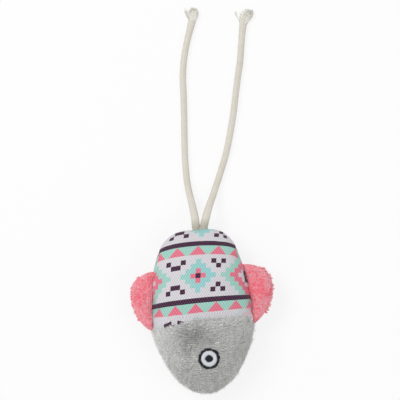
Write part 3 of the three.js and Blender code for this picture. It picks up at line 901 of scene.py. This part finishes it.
# %% Printed cotton finish
ground_white = colour(215, 212, 217)
ink_purple, ink_pink = colour(67, 32, 60), colour(230, 118, 140)
ink_mint, ink_aqua = colour(161, 208, 196), colour(150, 206, 208)
aqua_change, aqua_share = 0.12, 0.75
repeat_across, repeat_along = 24, 12
right_mark_column, left_mark_column, ring_middle, star_reach = 4, -4.5, 11.5, 3.5
stripe_low, stripe_high, triangle_low = 6.38, 7.45, 4.4
triangle_pitch, triangle_shift, triangle_half = 4.08, -0.33, 1.68
neck_row, neck_fade, tail_row = -7.3, 0.75, 9.0
bleed_spots, bleed_reach = 1500.0, 0.12
soil_spots, soil_tone, mean_tone = 90.0, 0.1, 0.975
weave_across, weave_along, weave_tone, weave_bump = 0.53, 0.88, 0.32, 0.06 * mm
twill_share, counter_share = 0.3, 0.2
bare_from, bare_yarn = 0.55, 0.1
cell_tolerance = 0.25


def printed_cotton_finish():
    """The chart's motifs as masks of cell numbers, laid over each other, then a fine twill."""
    material, shader, place = new_finish("printed_cotton", roughness=0.85, sheen=0.15)
    across, along = axes(place.node("ShaderNodeUVMap", {"uv_map": "chart"}))[:2]

    def same(value, number):
        """1 where a value is that number."""
        return place.math("COMPARE", value, number, cell_tolerance)

    def wrapped(value, span):
        """The value, moved by whole spans to lie around zero."""
        return place.math("WRAP", value, span / 2, -span / 2)

    bleed = uneven(place, bleed_spots, bleed_reach)
    wrapped_across = wrapped(across + bleed, repeat_across)
    wrapped_along = place.math("WRAP", along + bleed, stripe_high, stripe_high - repeat_along)
    column = place.math("FLOOR", wrapped_across + 0.5)
    row = abs(place.math("FLOOR", wrapped_along + 0.5))
    star = abs(column) + row
    ring_column = abs(wrapped(column - ring_middle, repeat_across)) - 0.5
    ring = ring_column + row
    right_mark, left_mark = abs(column - right_mark_column), abs(column - left_mark_column)
    marks = same(row, 2) * (same(right_mark, 0) + same(left_mark, 0.5))
    marks = marks + same(row, 3) * (same(right_mark, 1) + same(left_mark, 1.5))
    centre = same(ring, 0) + same(row, 1) * same(ring_column, 0)
    before_tail = along < tail_row
    inked = 1.0 - (neck_row - along).clipped(0.0, neck_fade)
    purple = marks + centre + same(star, 0) * before_tail
    pink = same(star, 1) * before_tail + (same(ring, 3) + same(ring, 4)) * inked
    mint = (same(ring, 5) + same(ring, 6)) * inked
    aqua = over((wrapped_across * aqua_change + aqua_share).clipped(0.0, 1.0), ink_mint, ink_aqua)
    cloth = over(star < star_reach, over(mint, ground_white, ink_mint), aqua)
    cloth = over(purple.clipped(0.0, 1.0), over(pink, cloth, ink_pink), ink_purple)
    tooth = abs(wrapped(wrapped_across - triangle_shift, triangle_pitch))
    taper = (stripe_low - wrapped_along) * (triangle_half / (stripe_low - triangle_low))
    cloth = over(wrapped_along > triangle_low, cloth, over(tooth < taper, ink_mint, ink_pink))
    cloth = over(wrapped_along > stripe_low, cloth, ink_purple)
    yarn_across, yarn_along = across * (2 * math.pi / weave_across), along * (2 * math.pi / weave_along)
    twill = place.math("SINE", yarn_across - yarn_along)
    counter = place.math("SINE", yarn_across + yarn_along)
    weave = twill * twill_share + counter * counter_share + 0.5
    bare = (weave - bare_from).clipped(0.0, 1.0) * (bare_yarn / (1 - bare_from))
    cloth = over(bare, cloth, ground_white)
    shade = weave * weave_tone + uneven(place, soil_spots, soil_tone) + (mean_tone - weave_tone / 2)
    grey = place.node("ShaderNodeCombineColor", None, {0: shade, 1: shade, 2: shade})
    multiply = {"data_type": "RGBA", "blend_type": "MULTIPLY"}
    feed(shader, "Base Color", place.node("ShaderNodeMix", multiply, {0: 1.0, 6: cloth, 7: grey}, output=2))
    bumped(shader, weave, weave_bump, strength=0.8)
    return material


printed_cotton = printed_cotton_finish()
print("finish made:", printed_cotton.name)

# %% Printed panels
cloth_wall = 0.8 * mm
both_faces = (("front", 1), ("back", -1))


def add_panel(name, grid, sense, finish, node):
    """A panel as its own mesh with a cloth's thickness on its inner side."""
    panel = add_piece(name, grid.reshape(-1, 3), facing(grid, sense), finish)
    rounder = panel.modifiers.new("rounder", "SUBSURF")
    rounder.levels = rounder.render_levels = 1
    wall = panel.modifiers.new("wall", "SOLIDIFY")
    wall.thickness, wall.offset = cloth_wall, -1
    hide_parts(node)
    return panel


def add_chart(panel, chart):
    """Gives every corner of the panel's quads its chart position as a UV map."""
    corners = np.empty(len(panel.data.loops), np.int32)
    panel.data.loops.foreach_get("vertex_index", corners)
    layer = panel.data.uv_layers.new(name="chart")
    layer.data.foreach_set("uv", chart.reshape(-1, 2)[corners].astype(np.float32).ravel())


for face, sense in both_faces:
    name = f"printed_{face}"
    panel = add_panel(name, panels[name], sense, printed_cotton, f"body_{face}_panel")
    add_chart(panel, charts[face])
    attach(panel, "toy_body")
print("printed panels made")

# %% [markdown]
# ## Plush head
# The head's plush is a knitted skin with a short dense pile that is combed towards the tail, so it laps over
# the neck seam. Blender's hair would give it too, but then nothing would show in other programs. Here every
# fibre is a thin spike of its own, a few triangles each, and its tone is stored with the mesh: dark at the
# root, which is painted shade, and pale at the tip, which is painted light.

# %% Plush skins
plush_deep, plush_pale = colour(174, 174, 171), colour(255, 255, 253)
# Wavy rows of the finish: painted shade in the valleys of the pile
row_waves, row_bend, wave_row_shade = 210.0, 7.0, 1.2
brushed_spots, brushed_tone = 260.0, 0.35
skin_tone = 0.45


def grey_plush_finish():
    """Grey pile: tone from the mesh, with slow patches where the nap was brushed and wavy rows across, which are
    painted shade in the valleys of the pile. The height is added to the way along, so the rows stay as close
    together where the cover turns down."""
    material, shader, place = new_finish("grey_plush", roughness=0.95, sheen=0.3)
    tone = place.node("ShaderNodeAttribute", {"attribute_name": "tone"}, output="Fac")
    x, y, z = axes(place)
    over_nose = place.node("ShaderNodeCombineXYZ", None, {0: x, 1: y + abs(z - seam_z)})
    waves = {"Vector": over_nose, "Scale": row_waves, "Distortion": row_bend, "Detail": 2.0}
    rows = place.node("ShaderNodeTexWave", {"bands_direction": "Y"}, waves, output="Fac")
    # The wavy rows darken the tone: painted shade in the valleys of the pile
    tone = tone + uneven(place, brushed_spots, brushed_tone) + (rows - 0.5) * wave_row_shade
    feed(shader, "Base Color", over(tone, plush_deep, plush_pale))
    return material


def tint(piece, tones):
    """Stores a tone for every point of a mesh."""
    layer = piece.data.attributes.new("tone", "FLOAT", "POINT")
    layer.data.foreach_set("value", np.broadcast_to(tones, len(piece.data.vertices)).astype(np.float32))


grey_plush = grey_plush_finish()
for face, sense in both_faces:
    name = f"plush_{face}"
    panel = add_panel(name, panels[name], sense, grey_plush, f"head_{face}_panel")
    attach(panel, "toy_body")
    tint(panel, skin_tone)
print("plush skins made")

# %% Lie and tone of the pile
# Rows of the pile: shorter fibres in their valleys, with painted shade there as well
row_relief, clump_pitch, clump_row_shade = 0.35, 1.6 * mm, 0.4
# Painted shade where the pile dips beside the eye: place, width, length in millimetres and depth of tone
dent_shades = [(-5, -13.5, 11, 6, 1.0), (-10.5, -20.5, 4, 6, 0.6)]
cheek_x, cheek_y, cheek_fade, cheek_long, cheek_tone = -12 * mm, -14 * mm, 6 * mm, 11 * mm, 0.2


def brushed_turn(x, y):
    """Angle by which the nap is brushed aside: a sum of a few slow waves over the head."""
    wave = np.sin(x / (5.3 * mm) + 0.7) * np.cos(y / (4.1 * mm)) + 0.8 * np.sin((x + 1.7 * y) / (3.1 * mm))
    return 0.45 * wave + 0.5 * np.sin((2.3 * x - y) / (1.9 * mm))


def clumps(places):
    """Uneven tone where the pile clings together: thin dark rows across the head, painted shade in the valleys
    between the tufts, wavy and here and there broken, whose mean is about nothing. The height is added to the
    way along, so the rows stay as close together where the cover turns down at the nose."""
    x, y = places[..., 0], places[..., 1] + np.abs(places[..., 2] - seam_z)
    bend = 1.1 * np.sin(x / (3.7 * mm) + 0.4) + 0.8 * np.sin((x - 2 * y) / (2.3 * mm))
    rows = np.sin(y * (2 * np.pi / clump_pitch) + bend * 2.2)
    breaks = np.sin(x / (0.8 * mm) + 2 * np.sin(y / (1.3 * mm)) + 1.5 * np.sin(x / (2.9 * mm)))
    return (0.4 - (0.5 + 0.5 * rows) ** 2) * (1.3 + 0.7 * breaks) + 0.25 * breaks


def pile_tone(places):
    """Tone of the pile at a place: rows with painted shade in their valleys, painted shade where the pile dips
    beside the eye, and a paler left cheek.
    """
    x, y = places[..., 0], places[..., 1]
    # Painted shade where the pile dips beside the eye, which also deepens the rows there
    dent_shade = sum(
        depth * np.exp(-(((x / mm - dent_x) / wide) ** 2) - ((y / mm - dent_y) / long) ** 2)
        for dent_x, dent_y, wide, long, depth in dent_shades
    )
    cheek = np.clip((cheek_x - x) / cheek_fade, 0, 1) * np.exp(-(((y - cheek_y) / cheek_long) ** 2))
    return clump_row_shade * (1 + dent_shade) * clumps(places) - dent_shade + cheek_tone * cheek


print("dents in the pile:", len(dent_shades))

# %% Pile
pile_fibres, fibre_sides = 24000, 3
pile_length, fibre_radius, fibre_tip, root_sunk = 1.5 * mm, 0.13 * mm, 0.45, 0.2 * mm
nap_lean, lean_range, length_range = 1.1, (0.6, 1.3), (0.7, 1.15)
turn_spread, tip_spread, tone_spread = 0.35, 0.18, 0.08
# Tone at the root and at the tip of every fibre: painted shade deep in the pile, painted light at the tips
root_painted_shade, tip_painted_light = 0.66, 1.12
stray_share, stray_length = 0.04, 1.7
lap_width, lap_along, lap_up = 2.2 * mm, 1.6, 0.3
lap_x, lap_fade, least_lap = -4 * mm, 14 * mm, 0.2
fin_low, fin_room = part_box("right_fin_filling")[0], 3 * mm


def quads_of(grid, sense):
    """The corners of every quad of a grid, and the cross product of its diagonals, which points outwards
    and is twice as long as its area."""
    corners = [part.reshape(-1, 3) for part in (grid[:-1, :-1], grid[:-1, 1:], grid[1:, 1:], grid[1:, :-1])]
    a, b, c, d = corners
    return corners, np.cross(c - a, d - b) * (sense * up_sign(grid))


def on_quads(corners, s, t):
    """Places on quads: the mean of their corners, weighted by the shares s across and t along."""
    a, b, c, d = corners
    return (1 - t) * ((1 - s) * a + s * b) + t * ((1 - s) * d + s * c)


def scatter(grid, count, rng, sense):
    """Random places on the quads of a grid, as many per area everywhere, with the outward normal there."""
    corners, outward = quads_of(grid, sense)
    area = np.linalg.norm(outward, axis=1)
    chosen = rng.choice(len(area), count, p=area / area.sum())
    s, t = rng.random((2, count, 1))
    return on_quads([corner[chosen] for corner in corners], s, t), unit(outward[chosen])


def make_pile(name, grid, sense, seed):
    """Spikes from random places on the skin: tip = root + length x (normal + lean x nap), nap to the tail.
    The eye and the room that the fins need stay bare."""
    rng = np.random.default_rng(seed)
    roots, normals = scatter(grid, pile_fibres, rng, sense)
    off_eye = np.hypot(roots[:, 0] - eye_x, roots[:, 1] - eye_y) > eye_radius
    near_fin = (np.abs(roots[:, 0]) > fin_low.x - fin_room) & (roots[:, 1] > fin_low.y - fin_room)
    kept = off_eye & ~(near_fin & (np.abs(roots[:, 2] - seam_z) < seam_z - fin_low.z + fin_room))
    roots, normals = roots[kept], normals[kept]
    count = len(roots)
    turn = brushed_turn(roots[:, 0], roots[:, 1]) + rng.normal(0, turn_spread, count)
    nap = np.stack([np.sin(turn), np.cos(turn), np.zeros(count)], axis=1)
    nap = unit(nap - normals * np.sum(nap * normals, axis=1, keepdims=True))
    lean = nap_lean * rng.uniform(*lean_range, (count, 1))
    lap = np.exp(-(((roots[:, 1] - neck_y(roots[:, 0])) / lap_width) ** 2))[:, None]
    toward = normals + lean * nap + rng.normal(0, tip_spread, (count, 3))
    toward = unit(toward + lap * np.array([0, lap_along, lap_up * sense]))
    longer = np.clip(1 - np.abs(roots[:, :1] - lap_x) / lap_fade, least_lap, 1)
    length = pile_length * rng.uniform(*length_range, (count, 1)) * (1 + lap * longer)
    length = length * np.where(rng.random((count, 1)) < stray_share, stray_length, 1)
    length = length * (1 + row_relief * clumps(roots))[:, None]
    lines = np.stack([roots - normals * root_sunk, roots + toward * length], axis=1)
    lines[..., 2] = np.maximum(lines[..., 2], fibre_radius)
    thin = fibre_radius * np.array([1.0, fibre_tip])
    points, faces = tubes(lines, thin, thin, np.cross(nap, normals)[:, None], fibre_sides)
    pile = add_piece(name, points, faces, grey_plush)
    tones = pile_tone(lines) + rng.normal(0, tone_spread, (count, 1))
    # Painted shade at the root and painted light at the tip, added to the pile's own tone
    tint(pile, np.repeat((tones + [root_painted_shade, tip_painted_light]).ravel(), fibre_sides))
    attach(pile, "toy_body")
    return len(faces)


pile_front = make_pile("pile_front", panels["plush_front"], 1, seed=41)
pile_back = make_pile("pile_back", panels["plush_back"], -1, seed=39)
print("triangles of pile, front and back:", pile_front, pile_back)

# %% [markdown]
# ## Embroidered eye
# The eye is machine embroidery: satin stitches side by side, radial in the black ring and the white and
# straight in the pupil. Three discs would look printed. Each stitch here is a thin thread that arches over
# the plush.

# %% Thread finishes
thread_spots = 1800.0


def thread_finish(name, thread_colour, shade_colour):
    """Slightly glossy thread with small changes of tone from stitch to stitch."""
    material, shader, place = new_finish(name, roughness=0.55, sheen=0.1)
    feed(shader, "Base Color", over(noise(place, thread_spots), thread_colour, shade_colour))
    return material


black_thread = thread_finish("black_thread", colour(20, 20, 24), colour(38, 37, 41))
white_thread = thread_finish("white_thread", colour(230, 232, 238), colour(208, 211, 218))
print("thread finishes made")

# %% Stitches
ring_inside, white_inside, pupil_radius, pupil_edge = 4.95 * mm, 2.0 * mm, 2.15 * mm, 0.94
white_stitches, ring_stitches, pupil_stitches = 84, 112, 13
white_under, white_rough, ring_rough = 0.1 * mm, 0.12 * mm, 0.42 * mm
stitch_group, turn_rough = 4, 0.01
stitch_width, stitch_thick, stitch_steps, stitch_sides = 0.24 * mm, 0.16 * mm, 6, 6
stitch_sunk, stitch_proud, stitch_round, eye_seed = 0.7 * mm, 0.38 * mm, 0.4, 60


def make_stitches(name, starts, ends, sense, finish, node, slot_name):
    """Threads over the cover: height = cover - sunk + (sunk + proud) sin(pi share)^round."""
    share = np.linspace(0, 1, stitch_steps)[None, :, None]
    plan = starts[:, None] * (1 - share) + ends[:, None] * share
    arch = -stitch_sunk + (stitch_sunk + stitch_proud) * np.sin(np.pi * share[..., 0]) ** stitch_round
    cover = swell(plan[..., 0], plan[..., 1]) * (front_height if sense > 0 else -back_depth)
    lines = np.concatenate([plan, (seam_z + cover + sense * arch)[..., None]], axis=-1)
    points, faces = tubes(lines, stitch_width, stitch_thick, upright, stitch_sides)
    join(add_piece(name, points, faces, finish), slot_name, node)


def radial(count, inside, outside, rough, rng):
    """Starts and ends of stitches across a ring round the eye's middle; a few neighbours share each end."""
    angle = np.linspace(0, 2 * np.pi, count, endpoint=False) + rng.normal(0, turn_rough, count)
    way = np.stack([np.cos(angle), np.sin(angle)], axis=1)
    near, far = (
        edge + np.repeat(rng.uniform(-rough, rough, (count // stitch_group, 1)), stitch_group, axis=0)
        for edge in (inside, outside)
    )
    return (eye_x, eye_y) + way * near, (eye_x, eye_y) + way * far


for face, sense in both_faces:
    rng = np.random.default_rng(eye_seed + sense)
    ends = radial(white_stitches, white_inside, ring_inside + white_under, white_rough, rng)
    make_stitches(f"{face}_eye_satin", *ends, sense, white_thread, f"{face}_eye_white", "white_thread")
    ends = radial(ring_stitches, ring_inside, eye_radius, ring_rough, rng)
    make_stitches(f"{face}_eye_rim", *ends, sense, black_thread, f"{face}_eye_ring", "black_thread")
    aside = np.linspace(-pupil_edge, pupil_edge, pupil_stitches) * pupil_radius
    reach = np.sqrt(pupil_radius**2 - aside**2)
    ends = [np.stack([eye_x + aside, eye_y + way * reach], axis=1) for way in (-1, 1)]
    make_stitches(f"{face}_eye_dot", *ends, sense, black_thread, f"{face}_eye_pupil", "black_thread")
print("stitches in each eye:", white_stitches + ring_stitches + pupil_stitches)

# %% [markdown]
# ## Terry fins
# Terry is a cloth with a small loop of yarn at every knit. The loops are what makes the fins look soft, so
# each one is a bent thread on its own quad of the skin, a little out of line with its neighbours.

# %% Pink terry finish
terry_deep, terry_pink = colour(255, 118, 136), colour(255, 194, 203)
# Spots in a metre, then how much they change the tone
slow_wear, fine_wear = (130.0, 1.1), (700.0, 1.2)


def pink_terry_finish():
    """Pink yarn, deeper between the loops, where the skin's deeper tone is painted shade."""
    material, shader, place = new_finish("pink_terry", roughness=0.95, sheen=0.2)
    tone = place.node("ShaderNodeAttribute", {"attribute_name": "tone"}, output="Fac")
    worn = uneven(place, *slow_wear) + uneven(place, *fine_wear)
    feed(shader, "Base Color", over(tone + worn, terry_deep, terry_pink))
    return material


pink_terry = pink_terry_finish()
print("finish made:", pink_terry.name)

# %% Fin skins and loops
loop_height, loop_half, loop_yarn = 0.38 * mm, 0.45 * mm, 0.27 * mm
loop_steps, loop_sides, loop_hook, loop_lean = 6, 4, 0.25, 0.35
loop_room, loop_heights = (0.2, 0.8), (0.75, 1.2)
stray_loops, stray_rows, least_stray = 60, 2, 0.35
stray_height = {"left": 1.82 * mm, "right": 2.66 * mm}
# Tones: painted shade on the skin between the loops, then the loops' own tone and its spread
between_loops_shade, loop_tone, loop_tone_spread = 0.2, 0.62, 0.25
terry_seed = {"left": 74, "right": 75}


def loops_on(grid, sense, longest, rng):
    """A bent thread on every quad: place + half cos(turn) across + height sin(turn) outwards, leaning. Some
    at the rim are pulled out up to the longest height."""
    corners, outward = quads_of(grid, sense)
    count = len(outward)
    places = on_quads(corners, *rng.uniform(*loop_room, (2, count, 1)))
    normals = unit(outward)
    across = unit(np.cross(normals, rng.normal(0, 1, (count, 3))))
    lean = rng.normal(0, loop_lean, (count, 3))
    height = loop_height * rng.uniform(*loop_heights, (count, 1))
    at_rim = np.arange(count)[-stray_rows * (fin_columns - 1) :]
    stray = rng.choice(at_rim, stray_loops, replace=False)
    height[stray] = longest * rng.uniform(least_stray, 1, (stray_loops, 1))
    turn = np.linspace(-loop_hook, np.pi + loop_hook, loop_steps)[None, :, None]
    up = unit(normals + lean)[:, None] * height[:, None] * np.sin(turn)
    lines = places[:, None] + across[:, None] * loop_half * np.cos(turn) + up
    return lines, np.cross(across, normals)


def fin_bend(piece):
    """Bakes the placement of a piece of a fin into its points."""
    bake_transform(piece)


def make_fin(side):
    """Both skins of a fin and their loops. Returns the triangles of the loops on one face."""
    rng = np.random.default_rng(terry_seed[side])
    for face, sense in both_faces:
        grid = fins[side, sense]
        name = f"{side}_fin_{face}"
        skin = add_panel(f"{name}_skin", grid, sense, pink_terry, name)
        # The skin between the loops gets a deep tone: painted shade
        tint(skin, between_loops_shade)
        lines, level = loops_on(grid, sense, stray_height[side], rng)
        points, faces = tubes(lines, loop_yarn, loop_yarn, level[:, None], loop_sides)
        loops = add_piece(f"{name}_loops", points, faces, pink_terry)
        tone = rng.normal(loop_tone, loop_tone_spread, len(lines))
        tint(loops, np.repeat(tone, loop_steps * loop_sides))
        fin_bend(skin)
        fin_bend(loops)
    return len(faces)


print("triangles of loops on each face of a fin:", [make_fin(side) for side in fin_sides])

# %% [markdown]
# ## Inside
# The body's filling, the sachet of dried catnip and the threads of its seams keep the solids' shapes: they
# are hidden, and their shapes are right. They only get finishes of their own. The filling and the thread of
# a fin are made from the fin's own grids.

# %% Finishes of the hidden pieces
plain_bump = 0.2 * mm


def plain_finish(name, pale, deep, bumps):
    """A cloth or fibre of two near tones; bumps is how many spots there are in a metre."""
    material, shader, place = new_finish(name, roughness=0.95, sheen=0.1)
    spots = noise(place, bumps, detail=3.0)
    feed(shader, "Base Color", over(spots, pale, deep))
    bumped(shader, spots, plain_bump, strength=0.5)
    return material


inner_finishes = {
    "fibre_filling": plain_finish("fibre_filling", colour(246, 246, 243), colour(230, 230, 226), 700.0),
    "sachet_cloth": plain_finish("sachet_cloth", colour(216, 208, 186), colour(188, 180, 156), 900.0),
    "seam_thread": plain_finish("seam_thread", colour(214, 212, 216), colour(190, 188, 194), 2500.0),
}
for subpart in frame["record"]["subparts"]:
    finish = inner_finishes.get(subpart["material_slot"])
    if finish:
        node = frame["nodes"][subpart["node"]]
        node.data.materials.clear()
        node.data.materials.append(finish)
print("hidden pieces finished")

# %% Filling and thread of the fins
wadding_reach, wadding_height = 0.86, 0.65
thread_reach, thread_radius, thread_steps, thread_sides = 0.9, 0.2 * mm, 150, 8
thread_from, thread_skip = 4, 3


def make_fin_inside(side):
    """The filling is the fin's own shape, smaller about its middle. The thread is a tube along the rim's
    seam, drawn in towards the same middle."""
    middle = (fins[side, 1] + fins[side, -1]) / 2
    centre = middle.mean(axis=(0, 1))
    inner = centre + (middle - centre) * wadding_reach
    points, quads = joined([inner + (fins[side, sense] - middle) * wadding_height for sense in (1, -1)])[:2]
    edge = np.vstack([middle[thread_from:, 0], middle[-1, 1:-1], middle[: thread_from - 1 : -1, -1]])
    line, length = smooth_path((centre + (edge - centre) * thread_reach)[::thread_skip], thread_steps)
    thread = tubes(line[None], thread_radius, thread_radius, upright, thread_sides)
    for name, mesh, node, slot_name in (
        ("wadding", (points, quads), "filling", "fibre_filling"),
        ("stitching", thread, "seam_thread", "seam_thread"),
    ):
        piece = add_piece(f"{side}_fin_{name}", *mesh, inner_finishes[slot_name])
        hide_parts(f"{side}_fin_{node}")
        fin_bend(piece)
    return round(length / mm, 1)


print("thread round each fin in mm:", [make_fin_inside(side) for side in fin_sides])
